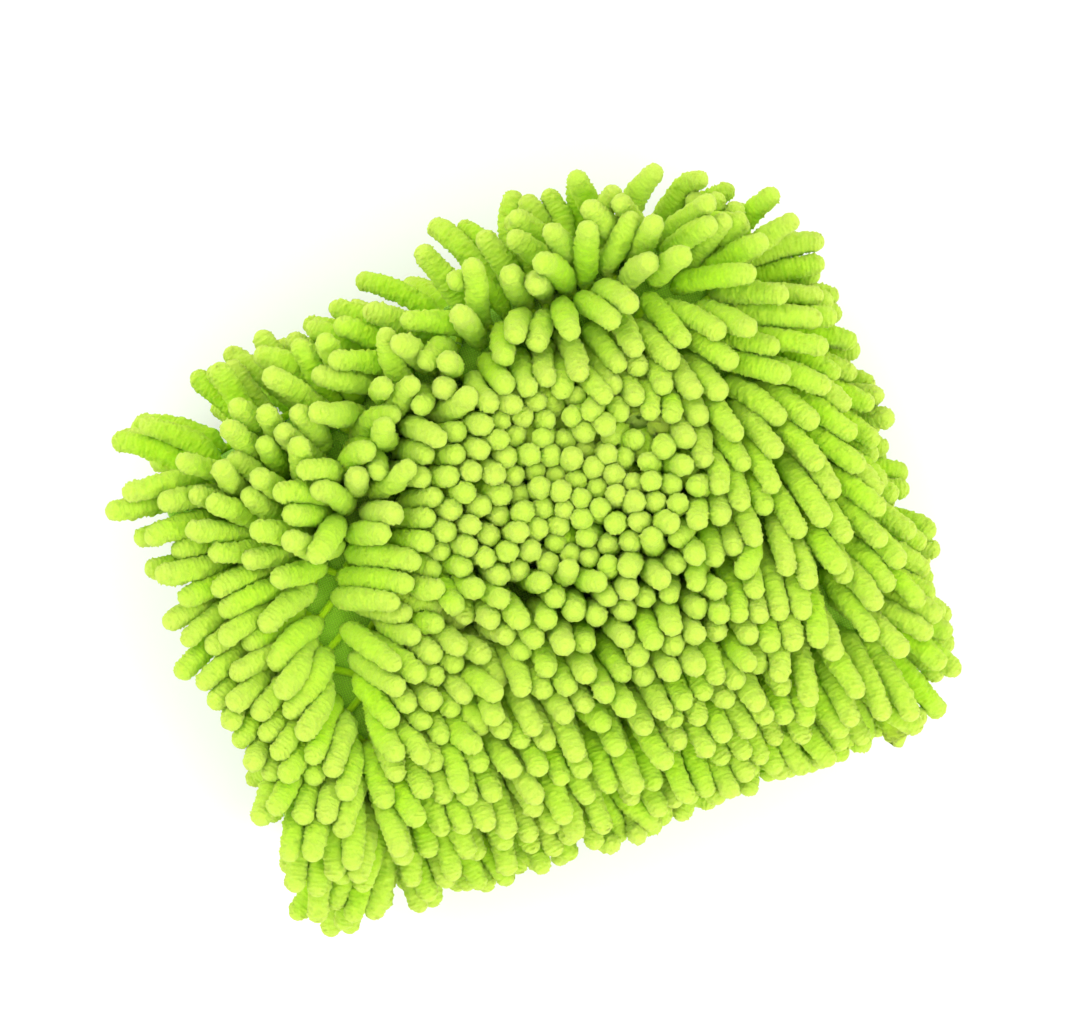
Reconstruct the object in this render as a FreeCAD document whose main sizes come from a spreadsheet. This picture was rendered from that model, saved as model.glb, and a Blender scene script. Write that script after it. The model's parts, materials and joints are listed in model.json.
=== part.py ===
import FreeCAD, Part
import math
import os
import re

import Sketcher

# Double-sided chenille wash mitt.
#
# The mitt is a flat pocket with a round-nosed edge. Its back and palm halves each have a knitted backing,
# a foam pad and a smooth lining. A seam tape closes them round the sides and the tip, and the mouth stays
# open. The mouth is bound, and holds a folded rib cuff with a band of elastic inside. Fat chenille noodles
# stand on the backing in rows. Each row is one cord with its noodles, held down by thread staples, and it
# leans about its cord.
#
# Frame: +X runs from the mouth to the fingertips, +Z out of the back of the hand, and +Y to the side of the
# hanging loop. The origin is the centre of the mitt. Lengths are in millimetres and angles in degrees.

Vector = FreeCAD.Vector
Rotation = FreeCAD.Rotation
Placement = FreeCAD.Placement

X_AXIS = Vector(1, 0, 0)
Y_AXIS = Vector(0, 1, 0)
Z_AXIS = Vector(0, 0, 1)

SIZES = {
    # pocket
    "edge_radius": 25,         # outer radius of the round-nosed edge, half the pocket's thickness
    "half_flat": 54,           # half width of the flat faces
    "mouth_x": -98.9,          # where the layers end at the mouth
    "nose_x": 73.4,            # where the round-nosed edge begins at the tip
    "backing_t": 1.2,
    "foam_t": 5,
    "lining_t": 0.8,
    "slack": 0.05,             # clearance between pieces that lie on each other
    # seam tape and mouth binding
    "tape_t": 1.2,
    "tape_width": 8,
    "binding_t": 1,
    "binding_leg": 6,
    # rib cuff
    "ply_t": 0.9,
    "elastic_t": 1,
    "elastic_width": 18,
    "cuff_out": 9,             # how far the folded edge stands out of the mouth
    "cuff_in": 22,             # how far the cuff reaches into the pocket
    # chenille rows
    "noodle_radius": 4.2,
    "noodle_root": 1.3,
    "noodle_neck": 6,
    "noodle_length": 30.2,
    "noodle_pitch": 9.25,
    "long_count": 17,          # noodles on a row that runs along the mitt
    "cross_count": 11,         # noodles on a row that runs across it
    "first_noodle": 17.2,      # from the mouth to the first noodle of a long row
    "row_pitch": 10.8,
    "cord_radius": 1.6,
    "cord_lift": 1.8,          # the cord's centre above what it lies on
    "cord_end": 3.4,           # cord past the last noodle
    "upper_angle": 26,         # the two rows on the round-nosed edge, from the flat face
    "lower_angle": 64,
    "inner_cuff_x": 9.5,       # the two cuff rows, from the mouth
    "inner_cuff_tilt": 20,
    "outer_cuff_x": -0.4,
    "outer_cuff_tilt": 55,
    # hanging loop
    "loop_radius": 6.5,
    "loop_t": 1.2,
    "loop_width": 8,
    "loop_reach": 14.5,        # from the bartack to the loop's centre
    "loop_angle": 80,          # round the mouth, from its side towards the palm
    "bar_radius": 0.5,
    "bar_leg_radius": 0.4,
    # label
    "label_length": 22,
    "label_width": 16,
    "label_t": 0.4,
    "label_in": 27,            # from the mouth to the label
    # thread
    "thread_radius": 0.35,
    "stitch_length": 3.4,
    "stitch_pitch": 6,
}

FACES = (("back", 1), ("palm", -1))
SIDES = (("left", 1), ("right", -1))
FLAT_ROWS = range(-5, 6)
CORNER_NOODLES = (("upper_angle", (45,)), ("lower_angle", (18, 45, 72)))   # directions round a plan corner
STAPLE_EVERY = 5               # a staple in each fifth gap of a row
BINDING_STITCH_IN = 4.7        # from the mouth to the binding's stitching
CUFF_STITCH_IN = 19            # from the mouth to the stitches that hold the cuff
FREE_GAP = 0.15                # clearance of pieces that turn about each other
TAPE_GAP = 1                   # from the mouth's binding to the seam tape
TRIM_MARGIN = 5                # how far a trimming solid reaches past what it trims

# Lengths that follow from the sheet, as expressions of its names.
WALL = "(backing_t + foam_t + lining_t)"
POCKET_RADIUS = f"(edge_radius - {WALL})"
ROOT_RADIUS = "(edge_radius + cord_lift)"
CUFF_RADIUS = f"({POCKET_RADIUS} - slack - binding_t - 2 * slack)"
CUFF_CAVITY = f"({CUFF_RADIUS} - ply_t)"
ELASTIC_RADIUS = f"({CUFF_CAVITY} - slack)"
CUFF_INNER_PLY = f"({ELASTIC_RADIUS} - elastic_t - slack)"
CUFF_CLEAR = f"({CUFF_INNER_PLY} - ply_t)"
BINDING_RADIUS = "(edge_radius + slack + binding_t)"
LOOP_EYE = f"(bar_radius + {FREE_GAP / 2})"
BAR_STAND = f"({LOOP_EYE} + loop_t + {FREE_GAP})"

doc = FreeCAD.newDocument("wash_mitt")
sheet = doc.addObject("Spreadsheet::Sheet", "Sizes")
for line, (alias, number) in enumerate(SIZES.items(), start=1):
    sheet.set(f"A{line}", alias)
    sheet.set(f"B{line}", str(number))
    sheet.setAlias(f"B{line}", alias)
doc.recompute()

parts = []


def size(alias):
    """The number in the sheet's cell of that name."""
    return float(sheet.get(alias))


def cells(text):
    """An expression of the sheet's names, in the form that setExpression takes."""
    def full_name(word):
        return f"Sizes.{word.group()}" if word.group() in SIZES else word.group()
    return re.sub(r"[a-z_]+", full_name, text)


def place(item, base, axis=X_AXIS, angle="0"):
    """Puts an object at base and turns it by angle about axis, with both bound to the sheet."""
    item.Placement = Placement(Vector(), Rotation(axis, 1))
    item.setExpression("Placement.Rotation.Angle", cells(angle))
    for letter, expression in zip("xyz", base):
        item.setExpression(f"Placement.Base.{letter}", cells(expression))


# ---------------------------------------------------------------- Part primitives and booleans

def primitive(kind, base, axis=X_AXIS, angle="0", **sizes):
    """A Part primitive whose sizes and place are expressions of the sheet's names."""
    item = doc.addObject(f"Part::{kind}", kind)
    for name, expression in sizes.items():
        item.setExpression(name, cells(expression))
    place(item, base, axis, angle)
    return item


def box(base, length, width, height):
    """A box from its lowest corner."""
    return primitive("Box", base, Length=length, Width=width, Height=height)


def rod(base, along, radius, height):
    """A cylinder from base along X, Y or Z."""
    axis, angle = {"X": (Y_AXIS, "90"), "Y": (X_AXIS, "-90"), "Z": (Z_AXIS, "0")}[along]
    return primitive("Cylinder", base, axis, angle, Radius=radius, Height=height)


def fuse(items):
    fused = doc.addObject("Part::MultiFuse", "Fuse")
    fused.Shapes = items
    return fused


def cut(base, tool):
    result = doc.addObject("Part::Cut", "Cut")
    result.Base = base
    result.Tool = tool
    return result


def common(base, tool):
    result = doc.addObject("Part::Common", "Common")
    result.Base = base
    result.Tool = tool
    return result


def as_part(item, label):
    """Marks an object as a sub-part that is written to its own file."""
    item.Label = label
    parts.append(item)
    return item


def pillow(radius):
    """A flat pocket's solid: its side and tip edges are round noses of that radius."""
    length = "(nose_x - mouth_x)"
    pieces = [
        box(("mouth_x", "-half_flat", f"-{radius}"), length, "2 * half_flat", f"2 * {radius}"),
        rod(("nose_x", "-half_flat", "0"), "Y", radius, "2 * half_flat"),
    ]
    for side in ("half_flat", "-half_flat"):
        pieces.append(rod(("mouth_x", side, "0"), "X", radius, length))
        pieces.append(primitive("Sphere", ("nose_x", side, "0"), Radius=radius))
    return fuse(pieces)


def stadium(radius, start, length):
    """A prism along X with the pocket's section at the mouth: flat faces and two round sides."""
    pieces = [box((start, "-half_flat", f"-{radius}"), length, "2 * half_flat", f"2 * {radius}")]
    for side in ("half_flat", "-half_flat"):
        pieces.append(rod((start, side, "0"), "X", radius, length))
    return fuse(pieces)


def slab(start, low, height):
    """A box from start to past the tip, over the pocket's whole width, that trims a layer to a band."""
    half = f"(half_flat + edge_radius + {TRIM_MARGIN})"
    length = f"nose_x + edge_radius + {TRIM_MARGIN} - ({start})"
    return box((start, f"-{half}", low), length, f"2 * {half}", height)


def half_layer(label, face, outer, inner):
    """One half of a layer of the pocket, on the back or the palm side of the seam."""
    height = f"(edge_radius + {TRIM_MARGIN})"
    low = {"back": "slack / 2", "palm": f"-slack / 2 - {height}"}[face]
    keep = slab("mouth_x", low, height)
    as_part(common(cut(pillow(outer), pillow(inner)), keep), label)


def make_layers():
    for face, _ in FACES:
        half_layer(f"{face}_backing", face, "edge_radius", "(edge_radius - backing_t)")
        foam_radius = "(edge_radius - backing_t - slack)"
        half_layer(f"{face}_foam", face, foam_radius, "(edge_radius - backing_t - foam_t + slack)")
        half_layer(f"{face}_lining", face, "(edge_radius - backing_t - foam_t)", POCKET_RADIUS)


def make_seam_tape():
    outer = "(edge_radius + slack + tape_t)"
    shell = cut(pillow(outer), pillow("(edge_radius + slack)"))
    strip = slab(f"mouth_x + binding_leg + {TAPE_GAP}", "-tape_width / 2", "tape_width")
    as_part(common(shell, strip), "seam_tape")


def make_mouth_binding():
    start = "mouth_x - slack - binding_t"
    length = "binding_leg + slack + binding_t"
    inner = f"({POCKET_RADIUS} - slack - binding_t)"
    band = cut(stadium(BINDING_RADIUS, start, length), stadium(inner, start, length))
    groove_start = "mouth_x - slack"
    groove_length = f"binding_leg + {TRIM_MARGIN}"
    groove = cut(stadium("(edge_radius + slack)", groove_start, groove_length),
                 stadium(f"({POCKET_RADIUS} - slack)", groove_start, groove_length))
    as_part(cut(band, groove), "mouth_binding")


def make_cuff():
    """The rib is one tube folded back inside itself, and the elastic lies in the fold."""
    start = "mouth_x - cuff_out"
    length = "cuff_out + cuff_in"
    rib = cut(stadium(CUFF_RADIUS, start, length), stadium(CUFF_CLEAR, start, length))
    fold_start = f"{start} + ply_t"
    fold = cut(stadium(CUFF_CAVITY, fold_start, length), stadium(CUFF_INNER_PLY, fold_start, length))
    as_part(cut(rib, fold), "cuff_rib")
    band_start = f"{fold_start} + slack"
    band = cut(stadium(ELASTIC_RADIUS, band_start, "elastic_width"),
               stadium(f"({ELASTIC_RADIUS} - elastic_t)", band_start, "elastic_width"))
    as_part(band, "cuff_elastic")


def place_at_loop(item):
    """Puts a loop piece's own origin on the bartack, round the mouth's side towards the palm."""
    middle = f"(edge_radius - {WALL} / 2)"
    base = (
        f"mouth_x - slack - binding_t - {BAR_STAND}",
        f"half_flat + {middle} * cos(loop_angle)",
        f"-{middle} * sin(loop_angle)",
    )
    place(item, base, X_AXIS, "-loop_angle")


def make_loop():
    """A ring of tape whose two plies close on the bartack. Its own frame has the bartack along Z."""
    bottom = "-loop_width / 2"
    outer = fuse([
        rod(("-loop_reach", "0", bottom), "Z", "loop_radius + loop_t", "loop_width"),
        rod(("0", "0", bottom), "Z", f"{LOOP_EYE} + loop_t", "loop_width"),
        box(("-loop_reach", "-loop_t", bottom), "loop_reach", "2 * loop_t", "loop_width"),
    ])
    holes = fuse([
        rod(("-loop_reach", "0", bottom), "Z", "loop_radius", "loop_width"),
        rod(("0", "0", bottom), "Z", LOOP_EYE, "loop_width"),
    ])
    place_at_loop(as_part(cut(outer, holes), "hanging_loop"))


def make_bartack():
    """A bar of thread through the loop's eye, with a leg at each end down to the binding."""
    to_leg = f"(loop_width / 2 + bar_leg_radius + {FREE_GAP})"
    legs = [
        rod(("0", "0", height), "X", "bar_leg_radius", f"{BAR_STAND} - slack")
        for height in (to_leg, f"-{to_leg}")
    ]
    half = f"({to_leg} + 2 * bar_leg_radius)"
    bar = rod(("0", "0", f"-{half}"), "Z", "bar_radius", f"2 * {half}")
    place_at_loop(as_part(fuse([bar, *legs]), "loop_bartack"))


def make_label():
    low = f"-{POCKET_RADIUS} + slack"
    label = box(("mouth_x + label_in", "-label_width / 2", low), "label_length", "label_width", "label_t")
    as_part(label, "care_label")


# ---------------------------------------------------------------- chenille rows

def new_sketch(body, name, role):
    """A sketch on one of the body's own origin planes."""
    sketch = body.newObject("Sketcher::SketchObject", name)
    plane = next(feature for feature in body.Origin.OriginFeatures if feature.Role == role)
    sketch.AttachmentSupport = [(plane, "")]
    sketch.MapMode = "FlatFace"
    return sketch


def constrain(sketch, name, expression, kind, *where):
    """A size constraint bound to the sheet."""
    index = sketch.addConstraint(Sketcher.Constraint(kind, *where, size("noodle_radius")))
    sketch.renameConstraint(index, name)
    sketch.setExpression(f"Constraints.{name}", cells(expression))


def draw_noodle(sketch):
    """Half of a noodle's section: narrow root, neck, straight side and domed end, closed on the V axis."""
    radius, length = size("noodle_radius"), size("noodle_length")
    root, neck = size("noodle_root"), size("noodle_neck")
    corners = [Vector(0, 0), Vector(root, 0), Vector(radius, neck), Vector(radius, length - radius)]
    for start, end in zip(corners, corners[1:]):
        sketch.addGeometry(Part.LineSegment(start, end), False)
    dome = Part.Circle(Vector(0, length - radius), Z_AXIS, radius)
    sketch.addGeometry(Part.ArcOfCircle(dome, 0, math.pi / 2), False)
    sketch.addGeometry(Part.LineSegment(Vector(0, length), corners[0]), False)
    base, slope, side, arc, middle = range(5)
    origin = (-1, 1)
    for one, other in ((base, slope), (slope, side), (side, arc), (arc, middle), (middle, base)):
        sketch.addConstraint(Sketcher.Constraint("Coincident", one, 2, other, 1))
    sketch.addConstraint(Sketcher.Constraint("Coincident", base, 1, *origin))
    sketch.addConstraint(Sketcher.Constraint("Horizontal", base))
    sketch.addConstraint(Sketcher.Constraint("Vertical", side))
    sketch.addConstraint(Sketcher.Constraint("Vertical", middle))
    sketch.addConstraint(Sketcher.Constraint("PointOnObject", arc, 3, -2))
    sketch.addConstraint(Sketcher.Constraint("Horizontal", side, 2, arc, 3))
    constrain(sketch, "root", "noodle_root", "DistanceX", *origin, base, 2)
    constrain(sketch, "radius", "noodle_radius", "DistanceX", *origin, side, 1)
    constrain(sketch, "neck", "noodle_neck", "DistanceY", *origin, side, 1)
    constrain(sketch, "shoulder", "noodle_length - noodle_radius", "DistanceY", *origin, side, 2)


def make_row(label, along, count, base, axis, angle):
    """A cord along the body's X or Y, with its noodles standing along Z. Its origin is the cord's middle."""
    body = doc.addObject("PartDesign::Body", label)
    end_plane, side_plane = {"X": ("YZ_Plane", "XZ_Plane"), "Y": ("XZ_Plane", "YZ_Plane")}[along]
    run = f"(noodle_pitch * ({count} - 1))"

    circle = new_sketch(body, "cord_circle", end_plane)
    circle.addGeometry(Part.Circle(Vector(), Z_AXIS, size("cord_radius")), False)
    circle.addConstraint(Sketcher.Constraint("Coincident", 0, 3, -1, 1))
    constrain(circle, "cord", "cord_radius", "Radius", 0)
    circle.setExpression("AttachmentOffset.Base.z", cells(f"-{run} / 2 - cord_end"))
    cord = body.newObject("PartDesign::Pad", "cord")
    cord.Profile = (circle, [""])
    cord.setExpression("Length", cells(f"{run} + 2 * cord_end"))

    section = new_sketch(body, "noodle_section", side_plane)
    draw_noodle(section)
    section.setExpression("AttachmentOffset.Base.x", cells(f"-{run} / 2"))
    noodle = body.newObject("PartDesign::Revolution", "noodle")
    noodle.Profile = (section, [""])
    noodle.ReferenceAxis = (section, ["V_Axis"])
    noodle.Angle = 360

    noodles = body.newObject("PartDesign::LinearPattern", "noodles")
    noodles.Originals = [noodle]
    noodles.Direction = (section, ["H_Axis"])
    noodles.setExpression("Length", cells(run))
    noodles.setExpression("Occurrences", cells(count))
    body.Tip = noodles
    place(body, base, axis, angle)
    as_part(body, label)


def turn_to_face(sign, lean):
    """The turn about a row's own direction that stands it on the back (1) or the palm (-1)."""
    return lean if sign > 0 else f"180 - {lean}"


def make_long_row(label, sign, sideways, height, lean):
    """A row along X. sideways and lean are towards +Y."""
    middle = "(mouth_x + first_noodle + noodle_pitch * (long_count - 1) / 2)"
    base = (middle, sideways, f"{sign} * {height}")
    make_row(label, "X", "long_count", base, X_AXIS, f"-1 * ({turn_to_face(sign, lean)})")


def make_cross_row(label, sign, forward, height, lean):
    """A row along Y. forward and lean are towards +X."""
    base = (forward, "0", f"{sign} * {height}")
    make_row(label, "Y", "cross_count", base, Y_AXIS, turn_to_face(sign, lean))


def make_long_rows():
    for face, sign in FACES:
        for place_number, index in enumerate(FLAT_ROWS, start=1):
            make_long_row(f"{face}_row_{place_number:02d}", sign, f"{index} * row_pitch", ROOT_RADIUS, "0")
        for side, way in SIDES:
            for level in ("upper", "lower"):
                angle = f"{level}_angle"
                sideways = f"{way} * (half_flat + {ROOT_RADIUS} * sin({angle}))"
                height = f"({ROOT_RADIUS} * cos({angle}))"
                label = f"{face}_edge_row_{side}_{level}"
                make_long_row(label, sign, sideways, height, f"({way} * {angle})")


def make_cross_rows():
    for face, sign in FACES:
        for level in ("upper", "lower"):
            angle = f"{level}_angle"
            forward = f"nose_x + {ROOT_RADIUS} * sin({angle})"
            height = f"({ROOT_RADIUS} * cos({angle}))"
            make_cross_row(f"{face}_tip_row_{level}", sign, forward, height, f"({angle})")
        make_cross_row(f"{face}_cuff_row_inner", sign, "mouth_x + inner_cuff_x", ROOT_RADIUS,
                       "(-1 * inner_cuff_tilt)")
        make_cross_row(f"{face}_cuff_row_outer", sign, "mouth_x + outer_cuff_x",
                       f"({BINDING_RADIUS} + cord_lift)", "(-1 * outer_cuff_tilt)")


# ---------------------------------------------------------------- groups of equal pieces

def group(label, shapes):
    """A sub-part of separate equal solids, such as the stitches of one seam."""
    feature = doc.addObject("Part::Feature", label)
    feature.Shape = Part.makeCompound(shapes)
    as_part(feature, label)


def noodle_solid():
    """A loose noodle that stands on its root along Z."""
    root, radius = size("noodle_root"), size("noodle_radius")
    neck, shoulder = size("noodle_neck"), size("noodle_length") - size("noodle_radius")
    cone = Part.makeCone(root, radius, neck)
    stem = Part.makeCylinder(radius, shoulder - neck, Vector(0, 0, neck))
    dome = Part.makeSphere(radius, Vector(0, 0, shoulder), Z_AXIS, 0, 90, 360)
    return cone.fuse([stem, dome]).removeSplitter()


def make_corner_tufts():
    """Noodles round the two plan corners of the tip, straight out of the backing's round corner."""
    foot = size("edge_radius") + size("slack")
    for side, way in SIDES:
        centre = Vector(size("nose_x"), way * size("half_flat"), 0)
        tufts = []
        for alias, directions in CORNER_NOODLES:
            for direction in directions:
                for _, sign in FACES:
                    out = Rotation(Z_AXIS, way * direction).multVec(X_AXIS)
                    angle = math.radians(size(alias))
                    normal = out * math.sin(angle) + Z_AXIS * sign * math.cos(angle)
                    noodle = noodle_solid()
                    noodle.Placement = Placement(centre + normal * foot, Rotation(Z_AXIS, normal))
                    tufts.append(noodle)
        group(f"corner_tufts_{side}", tufts)


def staple_solid():
    """A round staple over a cord along X, with two legs down to what the cord lies on."""
    thread = size("thread_radius")
    bow = size("cord_radius") + FREE_GAP + thread
    drop = size("cord_lift") - size("slack")
    section = Part.Face(Part.Wire(Part.makeCircle(thread, Vector(0, bow, 0), Z_AXIS)))
    arch = section.revolve(Vector(), X_AXIS, 180)
    legs = [Part.makeCylinder(thread, drop, Vector(0, side * bow, 0), Vector(0, 0, -1)) for side in (1, -1)]
    return arch.fuse(legs)


def make_row_staples():
    pitch, count = size("noodle_pitch"), int(size("long_count"))
    start = size("mouth_x") + size("first_noodle") + pitch / 2
    gaps = range(0, count - 1, STAPLE_EVERY)
    root = size("edge_radius") + size("cord_lift")
    seats = [(index * size("row_pitch"), 0) for index in FLAT_ROWS]
    for _, way in SIDES:
        seats += [(way * size("half_flat"), way * size(alias)) for alias in ("upper_angle", "lower_angle")]
    for face, sign in FACES:
        staples = []
        for sideways, lean in seats:
            turn = Rotation(X_AXIS, -lean if sign > 0 else lean - 180)
            centre = Vector(0, sideways, 0) + turn.multVec(Z_AXIS) * root
            for gap in gaps:
                staple = staple_solid()
                staple.Placement = Placement(centre + X_AXIS * (start + gap * pitch), turn)
                staples.append(staple)
        group(f"row_staples_{face}", staples)


def stitch_solid(centre, along):
    """A short thread that lies on its surface, round and blunt, centred on that point."""
    length = size("stitch_length")
    return Part.makeCylinder(size("thread_radius"), length, centre - along * length / 2, along)


def make_seam_stitches():
    """One line of stitches along the middle of the seam tape, round both corners."""
    radius = size("edge_radius") + 2 * size("slack") + size("tape_t") + size("thread_radius")
    pitch, half = size("stitch_pitch"), size("half_flat")
    start = size("mouth_x") + size("binding_leg") + pitch
    straight = size("nose_x") - start
    arc = radius * math.pi / 2
    stitches = []
    for _, way in SIDES:
        for step in range(int((straight + arc + half) / pitch) + 1):
            run = step * pitch
            if run < straight:
                stitches.append(stitch_solid(Vector(start + run, way * (half + radius), 0), X_AXIS))
            elif run < straight + arc:
                bend = (run - straight) / radius
                corner = Vector(size("nose_x"), way * half, 0)
                out = Vector(math.sin(bend), way * math.cos(bend), 0)
                stitches.append(stitch_solid(corner + out * radius, Z_AXIS.cross(out)))
            elif half - (run - straight - arc) > pitch / 2:
                centre = Vector(size("nose_x") + radius, way * (half - (run - straight - arc)), 0)
                stitches.append(stitch_solid(centre, Y_AXIS))
    group("seam_stitches", stitches)


def across(pitch):
    """Places across a flat face, evenly on both sides of the middle."""
    count = int(size("half_flat") / pitch)
    return [index * pitch for index in range(-count, count + 1)]


def make_binding_stitches():
    """Stitches on the binding's outer leg, over both faces."""
    height = size("edge_radius") + 2 * size("slack") + size("binding_t") + size("thread_radius")
    forward = size("mouth_x") + BINDING_STITCH_IN
    stitches = [
        stitch_solid(Vector(forward, sideways, sign * height), Y_AXIS)
        for _, sign in FACES for sideways in across(size("stitch_pitch"))
    ]
    group("binding_stitches", stitches)


def make_cuff_stitches():
    """Short threads through the gap between the cuff and the lining, at twice the stitch pitch."""
    pocket = size("edge_radius") - size("backing_t") - size("foam_t") - size("lining_t")
    length = size("binding_t") + size("slack")
    thread = size("thread_radius")
    forward = size("mouth_x") + CUFF_STITCH_IN
    top = pocket - size("slack")
    stitches = [
        Part.makeCylinder(thread, length, Vector(forward, sideways, sign * top), Z_AXIS * -sign)
        for _, sign in FACES for sideways in across(2 * size("stitch_pitch"))
    ]
    group("cuff_stitches", stitches)


# ---------------------------------------------------------------- the whole mitt

make_layers()
make_seam_tape()
make_mouth_binding()
make_cuff()
make_loop()
make_bartack()
make_label()
make_long_rows()
make_cross_rows()
make_corner_tufts()
make_row_staples()
make_seam_stitches()
make_binding_stitches()
make_cuff_stitches()
doc.recompute()

for item in doc.Objects:
    if "Invalid" in item.State or "Error" in item.State:
        raise RuntimeError(f"{item.Label} was left in the state {item.State}")
for part in parts:
    if part.Shape.isNull() or not part.Shape.isValid():
        raise RuntimeError(f"{part.Label} has no valid shape")

os.makedirs("parts", exist_ok=True)
for part in parts:
    part.Shape.exportStep(f"parts/{part.Label}.step")
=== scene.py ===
"""The looks of the chenille wash mitt, built round its CAD frame.

The pocket's layers, the noodles, the cuff and the trims are new pieces that stand for the CAD solids. Each
row of noodles rides on its own CAD row's body. Lengths are in metres, in the CAD frame: +X from the mouth to
the fingertips, +Y to the side of the hanging loop, +Z out of the back of the hand.
"""

import json
import math

import bpy
import mathutils
import numpy as np
from numpy.linalg import norm
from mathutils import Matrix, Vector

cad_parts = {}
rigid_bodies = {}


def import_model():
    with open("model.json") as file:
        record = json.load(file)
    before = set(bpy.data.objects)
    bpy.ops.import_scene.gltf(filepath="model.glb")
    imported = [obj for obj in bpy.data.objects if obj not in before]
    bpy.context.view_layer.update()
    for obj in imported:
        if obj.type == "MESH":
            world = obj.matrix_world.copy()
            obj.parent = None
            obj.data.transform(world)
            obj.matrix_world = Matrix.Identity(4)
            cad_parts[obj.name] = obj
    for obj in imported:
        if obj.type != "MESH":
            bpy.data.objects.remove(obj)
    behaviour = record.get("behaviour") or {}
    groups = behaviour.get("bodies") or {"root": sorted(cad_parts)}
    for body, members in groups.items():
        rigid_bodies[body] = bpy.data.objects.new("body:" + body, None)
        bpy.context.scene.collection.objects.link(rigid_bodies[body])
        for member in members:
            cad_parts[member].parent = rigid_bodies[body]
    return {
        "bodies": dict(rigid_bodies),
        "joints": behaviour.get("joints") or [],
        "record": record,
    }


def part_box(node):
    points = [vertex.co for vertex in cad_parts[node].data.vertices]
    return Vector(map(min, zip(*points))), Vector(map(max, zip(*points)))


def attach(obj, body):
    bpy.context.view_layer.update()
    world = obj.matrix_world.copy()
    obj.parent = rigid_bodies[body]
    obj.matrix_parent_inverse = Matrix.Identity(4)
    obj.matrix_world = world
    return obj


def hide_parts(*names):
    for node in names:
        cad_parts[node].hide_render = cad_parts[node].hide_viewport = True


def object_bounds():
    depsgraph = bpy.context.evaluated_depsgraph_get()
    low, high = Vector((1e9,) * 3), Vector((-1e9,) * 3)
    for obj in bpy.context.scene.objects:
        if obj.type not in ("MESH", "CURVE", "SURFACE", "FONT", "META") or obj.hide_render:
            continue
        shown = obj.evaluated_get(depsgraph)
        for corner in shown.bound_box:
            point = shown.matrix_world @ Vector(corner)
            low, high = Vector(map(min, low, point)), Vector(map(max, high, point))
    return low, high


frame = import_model()
cad_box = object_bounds()

MM = 0.001
BACK, PALM = 1, -1
FACES = {"back": BACK, "palm": PALM}
ROOT_BODY = "mitt_body"
random = np.random.default_rng(7)

# ---- sizes from the frame

BACKING_LOW, BACKING_HIGH = (np.array(corner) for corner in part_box("back_backing"))
EDGE = BACKING_HIGH[2]  # radius of the pocket's round-nosed edge
MOUTH_X = BACKING_LOW[0]
NOSE_X = BACKING_HIGH[0] - EDGE  # where the edge begins at the tip
HALF_FLAT = BACKING_HIGH[1] - EDGE
BOX_LOW, BOX_HIGH = (np.array(corner) for corner in cad_box)
HALF_SIZE = (BOX_HIGH - BOX_LOW) / 2
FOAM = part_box("back_foam")[1].z  # outer radius of the foam, and of the lining below
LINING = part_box("back_lining")[1].z
LINING_T = 0.8 * MM
POCKET = LINING - LINING_T
BINDING_LOW, BINDING_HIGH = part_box("mouth_binding")
CUFF_LOW, CUFF_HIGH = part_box("cuff_rib")
TAPE_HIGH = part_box("seam_tape")[1]
NOODLE_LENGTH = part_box("back_row_06")[1].z - EDGE

# ---- sizes of the soft shape

CORNER_BULGE = {1: -10 * MM, -1: 6 * MM}  # how far the tip's corners stand out past the round nose
FULL, LESS_AT_SIDES, LESS_AT_TIP = 0.86, 0.14, 0.10  # the pocket's thickness, in shares of the CAD's
RIDGE_HEIGHT, RIDGE_REACH = 0.16, 17 * MM  # how much fuller it is under the parting
DISH_DEPTH, DISH_RADIUS = 0.15, 36 * MM  # how much flatter it is where the pile stands up
GATHER = {1: 0.25, -1: 0.75}  # what the elastic leaves of each side of the mouth
GATHER_LENGTH = 110 * MM  # how far from the mouth it draws in
QUARTER = EDGE * math.pi / 2  # arc from a flat face to the seam
NOODLE_RADIUS = 3.85 * MM
NOODLE_AREA = 57 * MM * MM  # backing to each noodle
PLACE_SPREAD = 0.7 * MM  # how unevenly the noodles stand
SEAM_CLEAR = 2.5 * MM  # bare backing beside the seam
PLY_T = 0.9 * MM  # one ply of the rib cuff
ELASTIC_T = 1.0 * MM
FOLD_HALF = (ELASTIC_T + PLY_T) / 2 + 0.05 * MM
LOOP_T = 1.2 * MM
ROUND = 1 * MM  # how rounded the binding's fold is
BAR_RADIUS = 0.5 * MM
THREAD_RADIUS = 0.35 * MM
STITCH_LENGTH = 3.4 * MM
STITCH_PITCH = 6 * MM
STITCH = ((-0.5, 0.8), (-0.3, 0.0), (0.3, 0.0), (0.5, 0.8))  # shares of its length, and thread radii down
STAPLE_EVERY = 5
PAST_CAD = np.array((8, 6, 0)) * MM  # how far noodles may spread past the CAD
JOINTS = 7  # points along a noodle's centre line
SETTLE_TURNS = 110
PAIR_TURNS = 12  # turns that a list of near pairs holds for
BLUNT_END = 0.6  # width of a tube's end rings
RIPPLE = 0.25 * MM  # how uneven the pocket's layers are
HAIR = 0.1 * MM  # a gap that keeps touching parts apart
CUFF_BAND = 14 * MM  # what the cuff rows cover from the mouth
TIP_ROWS_FROM = NOSE_X + 2 * MM
CORNER_TUFTS = ((18, 1), (36, 3), (56, 5), (78, 7))  # degrees from the face, and noodles there
CUFF_WRAP = 16 * MM  # how far the cuff rows run on round the edge

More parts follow.
